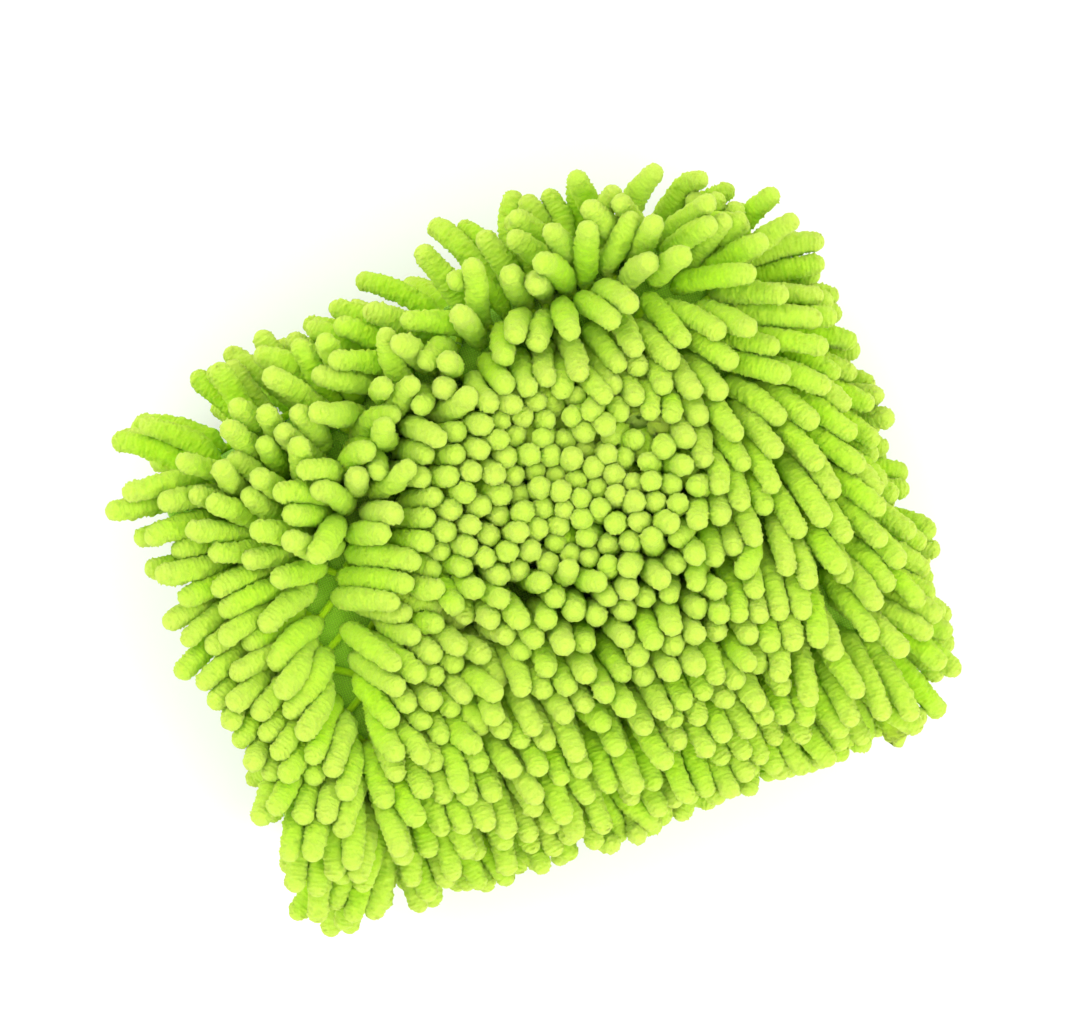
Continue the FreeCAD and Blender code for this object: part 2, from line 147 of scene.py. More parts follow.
# The parting in the back's pile, in percent of the mitt's half length and half width.
CREST = HALF_SIZE[:2] * (np.array([
    (-63, -76), (-58, -45), (-55, 4), (-44, 27), (-30, 51), (-14, 50), (12, 66), (36, 71), (86, 64),
]) / 100)
BARE_HALF_WIDTH = 4 * MM  # how far roots stand from the parting near the mouth
BARE_END_Y = 0.05 * HALF_SIZE[1]
DISH_CENTRE = HALF_SIZE[:2] * (0.17, 0.12)  # where the pile stands straight up

# How the back's pile is brushed: a noodle's middle in the same percents, the way it points in degrees from
# +X, and how far it lies over: 0 is upright.
LAY = np.array([
    (37, 90, 87, 1), (15, 90, 99, 1), (-2, 87, 122, 1), (-22, 81, 138, 1), (-41, 80, 155, 1.2),
    (-59, 75, 170, 1.4), (-10, 74, 165, 1), (-23, 63, 159, 1), (-43, 54, 98, 0.6), (-84, 61, 180, 1.4),
    (-94, 29, 176, 1.3), (-72, 27, 177, 1), (-83, 5, 196, 1.3), (-77, -9, 212, 1), (-66, -27, 232, 1),
    (-66, -57, 238, 1), (-70, -80, 249, 1), (-42, -31, 294, 1), (-42, -6, 333, 1), (-52, -53, 267, 1),
    (-6, 57, 249, 0.8), (22, 55, 263, 0.9), (44, 46, 279, 0.8), (42, 16, 252, 1), (17, 12, 270, 0),
    (14, -33, 279, 0.35), (-12, 0, 314, 0.5), (-15, 24, 339, 0.5), (73, 69, 16, 1), (56, 82, 45, 1),
    (94, 56, 350, 1), (70, 53, 337, 0.75), (74, 21, 315, 0.9), (100, -5, 330, 1), (100, -51, 315, 1),
    (71, -8, 255, 1), (61, -47, 255, 1), (82, -70, 279, 0.9), (31, -67, 276, 0.8), (-16, -73, 276, 0.9),
    (-23, -43, 282, 0.8), (-40, 37, 90, 0.1), (-52, 38, 100, 0.15), (-56, 60, 110, 0.3), (-92, -66, 222, 1),
    (-94, -18, 222, 0.6), (-94, -42, 232, 0.6), (25, -12, 265, 0.12), (8, 2, 300, 0.2), (30, 6, 265, 0.1),
]) / (100, 100, 1, 1)
LAY_REACH = 17 * MM  # how far one entry of the lay carries
SPARSE_RUN = HALF_SIZE[0] * np.array((-0.50, 0.20))  # where noodles stand apart on the loop's side
CROWD_X, CROWD_REACH, CROWD_MOST = 34 * MM, 30 * MM, 8 * MM  # how the back's rows draw together
CORD_RADIUS = 1.3 * MM
CORD_LIFT = 0.8 * CORD_RADIUS
CORD_SPAN = 15 * MM  # the longest bare stretch of a cord


def smooth_step(low, high, values):
    """0 below low, 1 above high, and smooth between."""
    share = np.clip((values - low) / (high - low), 0, 1)
    return share * share * (3 - 2 * share)


def unit(vectors):
    """The vectors along the last axis, each with length 1."""
    return vectors / np.maximum(norm(vectors, axis=-1, keepdims=True), 1e-9)


def hill(vectors, reach):
    """1 where a vector has no length, and fading to 0 past that reach."""
    return np.exp(-(norm(vectors, axis=-1) / reach) ** 2)


def crossed(first, second):
    """Every pair of values from two lists, as two long lists."""
    return [grid.ravel() for grid in np.meshgrid(first, second, indexing="ij")]


# ---- the pocket's surface

def crest_offset(plan):
    """The vector from the crest to each plan point, and its side: 1 towards the loop, -1 the middle."""
    aways, sides = [], []
    for start, end in zip(CREST[:-1], CREST[1:]):
        run = end - start
        share = np.clip((plan - start) @ run / (run @ run), 0, 1)
        aways.append(plan - (start + share[:, None] * run))
        cross = run[0] * (plan[:, 1] - start[1]) - run[1] * (plan[:, 0] - start[0])
        sides.append(np.where(cross >= 0, 1, -1))
    nearest = norm(aways, axis=-1).argmin(axis=0), np.arange(len(plan))
    return np.array(aways)[nearest], np.array(sides)[nearest]


def fullness(plan, face):
    """How full the pocket is at plan points of a face, as a share of the CAD's."""
    across = np.abs(plan[:, 1]) / (HALF_FLAT + EDGE)
    along = smooth_step(NOSE_X - 40 * MM, NOSE_X + EDGE, plan[:, 0])
    full = FULL - LESS_AT_SIDES * across ** 2.2 - LESS_AT_TIP * along
    if face == BACK:
        ridge = hill(crest_offset(plan)[0], RIDGE_REACH)
        full = full + RIDGE_HEIGHT * ridge - DISH_DEPTH * hill(plan - DISH_CENTRE, DISH_RADIUS)
    return 1 + (full - 1) * smooth_step(MOUTH_X + 4 * MM, MOUTH_X + 44 * MM, plan[:, 0])


def fullness_at(plan, height):
    """The same, on the back where height is positive and on the palm elsewhere."""
    return np.where(height >= 0, fullness(plan, BACK), fullness(plan, PALM))


def gather(plan, way=1):
    """Plan points with the sides of the mouth drawn in, or let out again with way -1."""
    x, y = plan.T
    share = np.where(y > 0, GATHER[1], GATHER[-1])
    share = 1 + (share - 1) * smooth_step(MOUTH_X + GATHER_LENGTH, MOUTH_X, x)
    beyond = np.maximum(np.abs(y) - HALF_FLAT, 0)
    return np.column_stack((x, y + np.sign(y) * (beyond * share ** way - beyond)))


def soften(points):
    """Takes points of the CAD pocket's shape to the worn pocket's."""
    plan, height = points[:, :2], points[:, 2]
    return np.column_stack((gather(plan), height * fullness_at(plan, height)))


def unroll(along, across):
    """Core points, outward directions and edge angles of unrolled places on the pocket."""
    core = np.column_stack((np.minimum(along, NOSE_X), np.clip(across, -HALF_FLAT, HALF_FLAT)))
    reach = np.column_stack((along, across)) - core
    return core, unit(reach), norm(reach, axis=1) / EDGE


def bulge(out):
    """How far the seam stands out past the round nose, by its outward direction in plan."""
    most = np.where(out[:, 1] > 0, CORNER_BULGE[1], CORNER_BULGE[-1])
    return most * (2 * out[:, 0] * out[:, 1]) ** 2


def surface(along, across, radius, face):
    """Points of the layer of that radius, at unrolled places on one face."""
    core, out, angle = unroll(along, across)
    plan = core + out * ((radius + bulge(out)) * np.sin(angle))[:, None]
    return soften(np.column_stack((plan, face * radius * np.cos(angle))))


def surface_normal(along, across, face):
    """Outward directions of the backing at unrolled places."""
    step = 0.5 * MM
    ahead = surface(along + step, across, EDGE, face) - surface(along - step, across, EDGE, face)
    beside = surface(along, across + step, EDGE, face) - surface(along, across - step, EDGE, face)
    return unit(np.cross(ahead, beside)) * face


# ---- meshes and pieces

def turned_out(points, faces):
    """The faces of a closed mesh, wound so that they face outward."""
    a, b, c, d = (points[corner] for corner in faces.T)
    volume = (np.cross(a, b) * c).sum() + (np.cross(a, c) * d).sum()
    return faces if volume > 0 else faces[:, [1, 0, 3, 2]]


def new_object(name, data):
    made = bpy.data.objects.new(name, data)
    bpy.context.scene.collection.objects.link(made)
    return made


def new_piece(node, kind, points, faces, material, slot, values=None):
    """A smooth closed piece that stands for a CAD node and rides on that node's body.

    Each face has four corners. A triangle's last one is there twice."""
    name = f"{node}_{kind}"
    mesh = bpy.data.meshes.new(name)
    faces = turned_out(points, faces)
    mesh.vertices.add(len(points))
    mesh.vertices.foreach_set("co", np.asarray(points, np.float32).ravel())
    keep = np.ones(faces.shape, bool)
    keep[:, 3] = faces[:, 3] != faces[:, 2]
    used = faces[keep].astype(np.int32)
    sizes = keep.sum(axis=1)
    starts = (np.cumsum(sizes) - sizes).astype(np.int32)
    mesh.loops.add(len(used))
    mesh.loops.foreach_set("vertex_index", used)
    mesh.polygons.add(len(faces))
    mesh.polygons.foreach_set("loop_start", starts)
    mesh.polygons.foreach_set("use_smooth", np.ones(len(faces), bool))
    for key, numbers in (values or {}).items():
        attribute = mesh.attributes.new(key, "FLOAT", "POINT")
        attribute.data.foreach_set("value", np.asarray(numbers, np.float32))
    mesh.update(calc_edges=True)
    mesh.validate()
    piece = new_object(name, mesh)
    mesh.materials.append(material)
    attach(piece, node if node in frame["bodies"] else ROOT_BODY)
    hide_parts(node)


def grid_faces(rows, columns, wrap_rows=False, wrap_columns=False):
    """Faces of a grid of points, row by row, which may close on itself either way."""
    row, column = crossed(np.arange(rows - 1 + wrap_rows), np.arange(columns - 1 + wrap_columns))
    here, ahead = row * columns, (row + 1) % rows * columns
    beside = (column + 1) % columns
    return np.stack((here + column, ahead + column, ahead + beside, here + beside), axis=-1)


def shell_faces(rows, columns):
    """Faces of a closed sheet of two equal grids of points, the outer one first."""
    count = rows * columns
    outer = grid_faces(rows, columns)
    inner = outer[:, ::-1] + count
    index = np.arange(count).reshape(rows, columns)
    rim = np.concatenate((index[0], index[1:, -1], index[-1, -2::-1], index[-2:0:-1, 0]))
    after = np.roll(rim, -1)
    wall = np.stack((rim, after, after + count, rim + count), axis=-1)
    return np.concatenate((outer, inner, wall))


def merge(meshes):
    """One list of points and one of faces from several."""
    points, faces, count = [], [], 0
    for some_points, some_faces in meshes:
        points.append(some_points)
        faces.append(some_faces + count)
        count += len(some_points)
    return np.concatenate(points), np.concatenate(faces)


def capped_faces(rings, sides):
    """Faces over rings of points that two more points follow, one to close each end."""
    step = np.arange(sides)
    after = (step + 1) % sides
    last, count = (rings - 1) * sides, rings * sides
    start = np.stack((np.full(sides, count), step, after, after), axis=-1)
    end = np.stack((np.full(sides, count + 1), last + after, last + step, last + step), axis=-1)
    return np.concatenate((grid_faces(rings, sides, wrap_columns=True), start, end))


def skin(sections, closed=False):
    """A closed skin over rings of points (rings, sides, 3), capped unless they close up."""
    stations, sides, _ = sections.shape
    points = sections.reshape(-1, 3)
    if closed:
        return points, grid_faces(stations, sides, wrap_rows=True, wrap_columns=True)
    return np.concatenate((points, sections[[0, -1]].mean(axis=1))), capped_faces(stations, sides)


def spokes(side, up, sides):
    """Directions all round from side towards up, along a new axis."""
    turn = np.arange(sides) * 2 * math.pi / sides
    return np.cos(turn)[:, None] * side[..., None, :] + np.sin(turn)[:, None] * up[..., None, :]


def tube(path, radius, sides):
    """A round tube along a path, with blunt ends."""
    tangent = unit(np.gradient(path, axis=0))
    side = unit(np.cross(tangent, (0.31, 0.17, 0.93)))
    radii = np.full(len(path), radius, float)
    radii[[0, -1]] *= BLUNT_END
    return skin(path[:, None] + spokes(side, np.cross(tangent, side), sides) * radii[:, None, None])


# ---- materials

BAND_SCALE = 2 * math.pi / 20  # the scale at which a wave texture's bands repeat once a unit


class Shader:
    """A node material for one Principled surface."""

    def __init__(self, name, roughness=0.9, sheen=0.3):
        self.material = bpy.data.materials.new(name)
        self.material.use_nodes = True
        self.tree = self.material.node_tree
        self.surface = self.tree.nodes["Principled BSDF"]
        self.set("Roughness", roughness)
        self.set("Sheen Weight", sheen)
        self.set("Sheen Roughness", 0.45)
        self.set("Specular IOR Level", 0.25)
        self.place = self.node("ShaderNodeTexCoord").outputs["Object"]

    def set(self, socket, value):
        self.surface.inputs[socket].default_value = value

    def node(self, kind, inputs=None, **settings):
        made = self.tree.nodes.new(kind)
        for key, value in settings.items():
            setattr(made, key, value)
        for key, value in (inputs or {}).items():
            if isinstance(value, bpy.types.NodeSocket):
                self.tree.links.new(value, made.inputs[key])
            else:
                made.inputs[key].default_value = value
        return made

    def mapped(self, size):
        """The place in the piece, in units of that size."""
        inputs = {"Vector": self.place, "Scale": (1 / size,) * 3}
        return self.node("ShaderNodeMapping", inputs).outputs["Vector"]

    def noise(self, size, detail=3, roughness=0.6):
        """Noise with features of that size, in metres."""
        inputs = {"Vector": self.mapped(size), "Scale": 1.0, "Detail": detail, "Roughness": roughness}
        return self.node("ShaderNodeTexNoise", inputs).outputs["Fac"]

    def wave(self, size, direction, distortion=0.0):
        """Bands that repeat at that size, in metres, along X, Y or Z."""
        inputs = {"Vector": self.mapped(size), "Scale": BAND_SCALE, "Distortion": distortion}
        return self.node("ShaderNodeTexWave", inputs, bands_direction=direction).outputs["Fac"]

    def math(self, operation, first, second=0.5):
        return self.node("ShaderNodeMath", {0: first, 1: second}, operation=operation).outputs[0]

    def attribute(self, name):
        return self.node("ShaderNodeAttribute", attribute_name=name).outputs["Fac"]

    def ramp(self, factor, stops):
        """Colours by places from 0 to 1."""
        node = self.node("ShaderNodeValToRGB", {"Fac": factor})
        elements = node.color_ramp.elements
        while len(elements) < len(stops):
            elements.new(0.5)
        for element, (place, colour) in zip(elements, stops):
            element.position = place
            element.color = (*colour, 1)
        return node.outputs["Color"]

    def mix(self, factor, first, second, blend="MIX"):
        first, second = ((*each, 1) if isinstance(each, tuple) else each for each in (first, second))
        inputs = {0: factor, 6: first, 7: second}
        return self.node("ShaderNodeMix", inputs, data_type="RGBA", blend_type=blend).outputs[2]

    def colour(self, socket):
        self.tree.links.new(socket, self.surface.inputs["Base Color"])

    def bump(self, height, distance, strength):
        inputs = {"Height": height, "Distance": distance, "Strength": strength}
        bumped = self.node("ShaderNodeBump", inputs).outputs["Normal"]
        self.tree.links.new(bumped, self.surface.inputs["Normal"])


# The root's deeper, saturated green is painted shade between the noodles, and the tip's paler, yellower
# green is a painted highlight on their ends. MID_GREEN is the pile's own green, and TIP_YELLOW a yellower
# tone that each noodle takes at random.
ROOT_SHADE_GREEN = (0.52, 0.93, 0.007)
MID_GREEN = (0.49, 0.85, 0.020)
TIP_HIGHLIGHT_GREEN = (0.57, 0.82, 0.08)
TIP_YELLOW = (0.65, 0.81, 0.12)


def chenille_material():
    """Microfibre pile, with a soft sheen: a deeper green at the root that is painted shade between the
    noodles, a paler, yellower tip that is a painted highlight on their ends, and painted shade in the fine
    pile's crevices.
    """
    shader = Shader("chenille", roughness=0.95, sheen=0.2)
    shader.set("Sheen Tint", (0.85, 1.0, 0.45, 1))
    along = shader.attribute("along")
    tone = shader.attribute("tone")
    pile = shader.noise(0.8 * MM, detail=4, roughness=0.7)
    blotch = shader.noise(9 * MM, detail=2)
    mixed = shader.math("ADD", along, shader.math("MULTIPLY", shader.math("SUBTRACT", blotch, 0.5), 0.35))
    # Painted shade at the root and painted highlight at the tip, by the share along each noodle.
    length = shader.ramp(mixed, ((0.05, ROOT_SHADE_GREEN), (0.7, MID_GREEN), (0.98, TIP_HIGHLIGHT_GREEN)))
    yellow = shader.mix(shader.math("MULTIPLY", tone, 0.55), length, TIP_YELLOW)
    # Painted shade in the pile's low places and a slightly lighter colour on its high ones, from the same
    # noise that the bump below lifts.
    pile_painted_shade = shader.ramp(pile, ((0.3, (0.88, 0.92, 0.78)), (0.65, (1.06, 1.05, 1.06))))
    shader.colour(shader.mix(1.0, yellow, pile_painted_shade, "MULTIPLY"))
    rings = shader.math("SINE", shader.math("MULTIPLY", shader.attribute("rings"), 2 * math.pi))
    fibres = shader.noise(0.35 * MM, detail=3, roughness=0.8)
    height = shader.math("ADD", shader.math("MULTIPLY", rings, 0.22), shader.math("MULTIPLY", fibres, 1.2))
    shader.bump(shader.math("ADD", height, pile), 0.42 * MM, 0.9)
    shader.set("Subsurface Weight", 0.5)
    shader.set("Subsurface Radius", (0.9, 1.0, 0.3))
    shader.set("Subsurface Scale", 4 * MM)
    return shader.material


def knitted_material(name, colour, loop, sheen=0.25, contrast=0.25):
    """Knitted or woven cloth: crossing bands of that loop size, with lint, painted shade in the low parts of
    the weave and a painted highlight on its raised loops.
    """
    shader = Shader(name, roughness=0.85, sheen=sheen)
    crossing = shader.math("MULTIPLY", shader.wave(loop, "X", 0.6), shader.wave(loop, "Y", 0.6))
    lint = shader.noise(0.6 * loop, detail=4, roughness=0.75)
    worn = shader.noise(14 * MM, detail=2)
    height = shader.math("ADD", crossing, shader.math("MULTIPLY", lint, 0.5))
    # The ramp paints shade into the weave's low parts and a highlight on its raised loops, at the heights
    # that the bump uses. The worn blotches darken at random towards the same dark colour.
    shade_and_wear = tuple(channel * (1 - contrast) for channel in colour)
    light = tuple(min(channel * 1.08, 1) for channel in colour)
    base = shader.ramp(height, ((0.15, shade_and_wear), (0.85, light)))
    shader.colour(shader.mix(shader.math("MULTIPLY", worn, 0.25), base, shade_and_wear))
    shader.bump(height, 0.3 * loop, 0.8)
    return shader.material


def foam_material():
    shader = Shader("foam", roughness=0.95, sheen=0.1)
    inputs = {"Vector": shader.place, "Scale": 1 / (0.9 * MM)}
    cells = shader.node("ShaderNodeTexVoronoi", inputs).outputs["Distance"]
    shader.colour(shader.ramp(cells, ((0.1, (0.86, 0.83, 0.70)), (0.7, (0.55, 0.52, 0.40)))))
    shader.bump(cells, 0.5 * MM, 0.9)
    return shader.material


def thread_material():
    shader = Shader("thread", roughness=0.6, sheen=0.4)
    twist = shader.wave(0.45 * MM, "DIAGONAL", 0.4)
    # Painted shade in the twist's grooves and a painted highlight on its ridges, at the heights that the
    # bump uses.
    shader.colour(shader.ramp(twist, ((0.2, (0.30, 0.62, 0.03)), (0.8, (0.52, 0.84, 0.08)))))
    shader.bump(twist, 0.12 * MM, 0.9)
    return shader.material


CHENILLE = chenille_material()
BACKING_CLOTH = knitted_material("backing_knit", (0.40, 0.76, 0.035), 0.8 * MM, sheen=0.35)
FOAM_PAD = foam_material()
LINING_CLOTH = knitted_material("lining_cloth", (0.62, 0.66, 0.62), 0.5 * MM)
RIB_KNIT = knitted_material("rib_knit", (0.30, 0.62, 0.03), 0.9 * MM, sheen=0.4)
ELASTIC_WEAVE = knitted_material("elastic_weave", (0.82, 0.82, 0.78), 0.7 * MM)
TAPE_WEAVE = knitted_material("tape_weave", (0.27, 0.60, 0.025), 0.6 * MM)
LABEL_CLOTH = knitted_material("label_satin", (0.86, 0.86, 0.83), 0.35 * MM, contrast=0.1)
THREAD = thread_material()

# ---- the pocket's layers

LAYER_ROWS, LAYER_COLUMNS = 140, 141


def layer_grid():
    """Unrolled places of a grid over a face, with the tip's corners drawn in to quarter discs."""
    span = QUARTER - 0.6 * MM
    along, across = crossed(
        np.linspace(MOUTH_X, NOSE_X + span, LAYER_ROWS),
        np.linspace(-HALF_FLAT - span, HALF_FLAT + span, LAYER_COLUMNS),
    )
    ahead = np.maximum(along - NOSE_X, 0)
    beside = np.maximum(np.abs(across) - HALF_FLAT, 0)
    along = np.minimum(along, NOSE_X) + ahead * np.sqrt(1 - beside ** 2 / (2 * span ** 2))
    drawn = beside * np.sqrt(1 - ahead ** 2 / (2 * span ** 2))
    return along, np.clip(across, -HALF_FLAT, HALF_FLAT) + np.sign(across) * drawn


def make_layers():
    """The backing, the foam and the lining of each half: closed sheets, a hair apart."""
    along, across = layer_grid()
    ripple = RIPPLE * np.sin(along / (9 * MM)) * np.sin(across / (11 * MM))
    layers = (
        ("backing", EDGE, FOAM + HAIR, BACKING_CLOTH),
        ("foam", FOAM, LINING + HAIR, FOAM_PAD),
        ("lining", LINING, POCKET, LINING_CLOTH),
    )
    sheet = shell_faces(LAYER_ROWS, LAYER_COLUMNS)
    for label, face in FACES.items():
        for layer, *radii, material in layers:
            sides = [surface(along, across, radius + ripple - RIPPLE, face) for radius in radii]
            new_piece(f"{label}_{layer}", "sheet", np.concatenate(sides), sheet, material, layer)


# ---- noodles: where they stand

def row_middle(joint):
    """The kind of row that a joint carries, and its unrolled place."""
    x, y, z = joint["pos_m"]
    if abs(joint["axis"][0]) > 0.5:
        angle = math.atan2(max(abs(y) - HALF_FLAT, 0), abs(z))
        return "long", math.copysign(min(abs(y), HALF_FLAT) + EDGE * angle, y)
    angle = math.atan2(max(x - NOSE_X, 0), abs(z))
    return "cuff" if x < 0 else "tip", max(min(x, NOSE_X) + EDGE * angle, MOUTH_X + 1 * MM)


def row_strips():
    """For each CAD row: its face, whether it runs along the mitt, and the strip that it covers."""
    seam = QUARTER - SEAM_CLEAR
    covered = {
        "long": (-HALF_FLAT - seam, HALF_FLAT + seam),
        "cuff": (MOUTH_X, MOUTH_X + CUFF_BAND),
        "tip": (TIP_ROWS_FROM, NOSE_X + seam),
    }
    middles = {(face, kind): {} for face in (BACK, PALM) for kind in covered}
    for joint in frame["joints"]:
        name = joint["child"]
        if "row" in name:
            kind, middle = row_middle(joint)
            middles[FACES[name.split("_")[0]], kind][name] = middle
    strips = {}
    for (face, kind), rows in middles.items():
        low, high = covered[kind]
        names = sorted(rows, key=rows.get)
        order = np.array([rows[name] for name in names])
        edges = np.concatenate(([low], (order[1:] + order[:-1]) / 2, [high]))
        strips.update({name: (face, kind == "long", edges[i:i + 2]) for i, name in enumerate(names)})
    return strips


def staggered(low, high, width, pitch):
    """Places along a row from low to high, and their zigzag across it."""
    count = max(int((high - low) / pitch), 2)
    along = low + (np.arange(count) + 0.5) * (high - low) / count
    zigzag = np.where(np.arange(count) % 2, 1, -1) * width / 4
    return along, zigzag


def crowd(run):
    """Draws a row's places together below the dish, where the pile would open."""
    away = (run - CROWD_X) / CROWD_REACH
    return run - CROWD_MOST * away * np.exp(-away ** 2)


def place_noodles():
    """The name of every noodle's row or corner, its face and its unrolled place."""
    names, faces, places = [], [], []

    def add(name, face, along, across):
        names.extend([name] * len(along))
        faces.extend([face] * len(along))
        places.append(np.column_stack((along, across)))

    for name, (face, runs_along, (low, high)) in sorted(row_strips().items()):
        width, middle = high - low, (high + low) / 2
        if runs_along:
            start = MOUTH_X + (3 * MM if "edge" in name else CUFF_BAND)
            run, zigzag = staggered(start, TIP_ROWS_FROM, width, NOODLE_AREA / width)
            add(name, face, crowd(run) if face == BACK else run, middle + zigzag)
        else:
            pitch = max(NOODLE_AREA / width, 4 * MM)
            half = HALF_FLAT if "tip" in name else HALF_FLAT + CUFF_WRAP
            run, zigzag = staggered(-half, half, width, pitch)
            add(name, face, middle + zigzag, run)
    for label, way in (("left", 1), ("right", -1)):
        for face in (BACK, PALM):
            for angle, count in CORNER_TUFTS:
                turn = np.radians((np.arange(count) + 0.5) * 90 / count)
                reach = EDGE * math.radians(angle)
                along = NOSE_X + reach * np.cos(turn)
                add(f"corner_tufts_{label}", face, along, way * (HALF_FLAT + reach * np.sin(turn)))
    places = np.concatenate(places)
    places += random.normal(0, PLACE_SPREAD, places.shape)
    return np.array(names), np.array(faces), places


def palm_flow(plan):
    """Which way the palm's pile leans at plan points, and how far: 0 is upright and 1 lies over.

    It lies towards the tip, the mouth and the side away from the loop, in swirls."""
    x, y = plan.T
    to_tip, to_side = NOSE_X + EDGE - x, HALF_FLAT + EDGE - np.abs(y)
    ahead = smooth_step(45 * MM, 4 * MM, to_tip) - smooth_step(34 * MM, 2 * MM, x - MOUTH_X)
    outward = np.column_stack((ahead, -smooth_step(40 * MM, 4 * MM, to_side)))
    return outward + 0.5 * np.column_stack((np.sin(y / (31 * MM) + 1), np.cos(x / (37 * MM))))


def back_flow(plan):
    """The same for the back, by the entries of LAY. Hardly any carries across the parting."""
    middle = HALF_SIZE[:2] * LAY[:, :2]
    turn, lean = np.radians(LAY[:, 2]), LAY[:, 3]
    way = np.column_stack((np.cos(turn), np.sin(turn)))
    root = middle - way * (0.4 * NOODLE_LENGTH * lean)[:, None]
    offset, side = crest_offset(plan)
    _, lay_side = crest_offset(middle)
    square = (norm(plan[:, None] - root, axis=2) / LAY_REACH) ** 2
    weight = np.exp(-square) + 0.002 / (1 + square)
    weight *= np.where(side[:, None] == lay_side, 1.0, 0.01)
    weight /= weight.sum(axis=1, keepdims=True)
    flow = weight @ way
    flow = unit(flow) * (weight @ lean)[:, None]
    to_dish = DISH_CENTRE - plan
    flow += to_dish / (75 * MM) * hill(to_dish, 30 * MM)[:, None]
    near = hill(offset, 9 * MM)
    bare = smooth_step(BARE_END_Y + 20 * MM, BARE_END_Y, plan[:, 1])
    flow *= (1 - 0.7 * near * (1 - bare))[:, None]
    tumble = random.normal(0, 0.3, flow.shape)
    return flow + tumble * (near * (1 - bare))[:, None]


# ---- noodles: how they lie

def bend_to_rest(roots, normals, starts, lean, lengths, radii):
    """Settles the noodles' centre lines: each keeps its bend, and none passes through another."""
    count = len(roots)
    step = (lengths / (JOINTS - 1))[:, None]
    strength = norm(lean, axis=1, keepdims=True)
    first = unit(normals + starts)
    last = unit(normals * np.maximum(1.0 - 0.75 * strength, 0.18) + lean)
    wanted = np.zeros((count, JOINTS, 3))
    wanted[:, 0] = roots
    for joint in range(1, JOINTS):
        share = (joint - 1) / (JOINTS - 2)
        wanted[:, joint] = wanted[:, joint - 1] + unit(first * (1 - share) + last * share) * step
    points = wanted.copy()
    reach = np.repeat(radii[:, None], JOINTS, axis=1)
    reach[:, :2] *= 0.5, 0.85
    owner = np.repeat(np.arange(count), JOINTS)
    low = BOX_LOW + NOODLE_RADIUS - PAST_CAD
    high = BOX_HIGH - NOODLE_RADIUS + PAST_CAD
    for turn in range(SETTLE_TURNS):
        if turn % PAIR_TURNS == 0:
            one, other = near_pairs(points.reshape(-1, 3), owner, 2.6 * NOODLE_RADIUS)
        hold = 0.05 if turn < SETTLE_TURNS * 0.8 else 0.01
        points[:, 2:] += hold * (wanted[:, 2:] - points[:, 2:])
        middle = (points[:, :-2] + points[:, 2:]) / 2
        points[:, 1:-1] += 0.15 * (middle - points[:, 1:-1])
        push_apart(points.reshape(-1, 3), reach.ravel(), one, other)
        push_off_pocket(points, reach)
        points = np.clip(points, low, high)
        points[:, 0] = roots
        points[:, 1] += 0.5 * (wanted[:, 1] - points[:, 1])
        for joint in range(1, JOINTS):
            segment = unit(points[:, joint] - points[:, joint - 1])
            points[:, joint] = points[:, joint - 1] + segment * step
    return points


def near_pairs(points, owner, reach):
    """Pairs of points of different noodles that are nearer than reach."""
    firsts, seconds = [], []
    small = points.astype(np.float32)
    for start in range(0, len(points), 400):
        part = small[start:start + 400]
        gap = ((part[:, None] - small[start:]) ** 2).sum(-1)
        one, other = np.nonzero(gap < reach ** 2)
        one, other = one + start, other + start
        keep = (owner[one] != owner[other]) & (one < other)
        firsts.append(one[keep])
        seconds.append(other[keep])
    return np.concatenate(firsts), np.concatenate(seconds)


def push_apart(points, reach, one, other):
    """Moves the points of each pair apart where their spheres overlap."""
    gap = points[one] - points[other]
    distance = np.maximum(norm(gap, axis=1), 1e-6)
    overlap = np.maximum(reach[one] + reach[other] - distance, 0)
    move = gap / distance[:, None] * (0.25 * overlap)[:, None]
    for axis in range(3):
        points[:, axis] += np.bincount(one, move[:, axis], len(points))
        points[:, axis] -= np.bincount(other, move[:, axis], len(points))


def push_off_pocket(points, reach):
    """Keeps points off the backing."""
    flat = points.reshape(-1, 3)
    plan = gather(flat[:, :2], way=-1)
    core = np.clip(plan, (MOUTH_X, -HALF_FLAT), (NOSE_X, HALF_FLAT))
    beside = plan - core
    across = norm(beside, axis=1)
    distance = np.hypot(across, flat[:, 2] / fullness_at(plan, flat[:, 2]))
    need = EDGE + 0.9 * reach.ravel()
    inside = (distance < need) & (plan[:, 0] > MOUTH_X)
    grow = (need / np.maximum(distance, 1e-6))[inside]
    flat[inside, 2] *= grow
    plan[inside] += unit(beside[inside]) * (across[inside] * (grow - 1))[:, None]
    flat[inside, :2] = gather(plan[inside])
    points[:] = flat.reshape(points.shape)


# ---- noodles: their meshes

RINGS = 46  # rings from the root to the dome
DOME_RINGS = 11
SIDES = 26
RING_PITCH, RING_HEIGHT = 1.45 * MM, 0.07 * MM  # the faint ridges round a noodle
FUZZ_FINE, FUZZ_COARSE = 0.27 * MM, 0.12 * MM  # how uneven the pile's outside is
PATTERNS = 12  # patterns of fuzz, which the noodles share
NECK, NECK_LENGTH = 0.62, 7 * MM  # width at the root, as a share, and where it's full
TIP_TAPER = 0.12
SWELL, SWELL_LENGTH = 0.035, 5.5 * MM  # how a noodle's width wanders
LENGTH_SPREAD, WIDTH_SPREAD = (0.88, 1.10), (0.93, 1.04)
LONGER_AT_TIP, LONGER_AT_SIDE = 0.12, 0.06


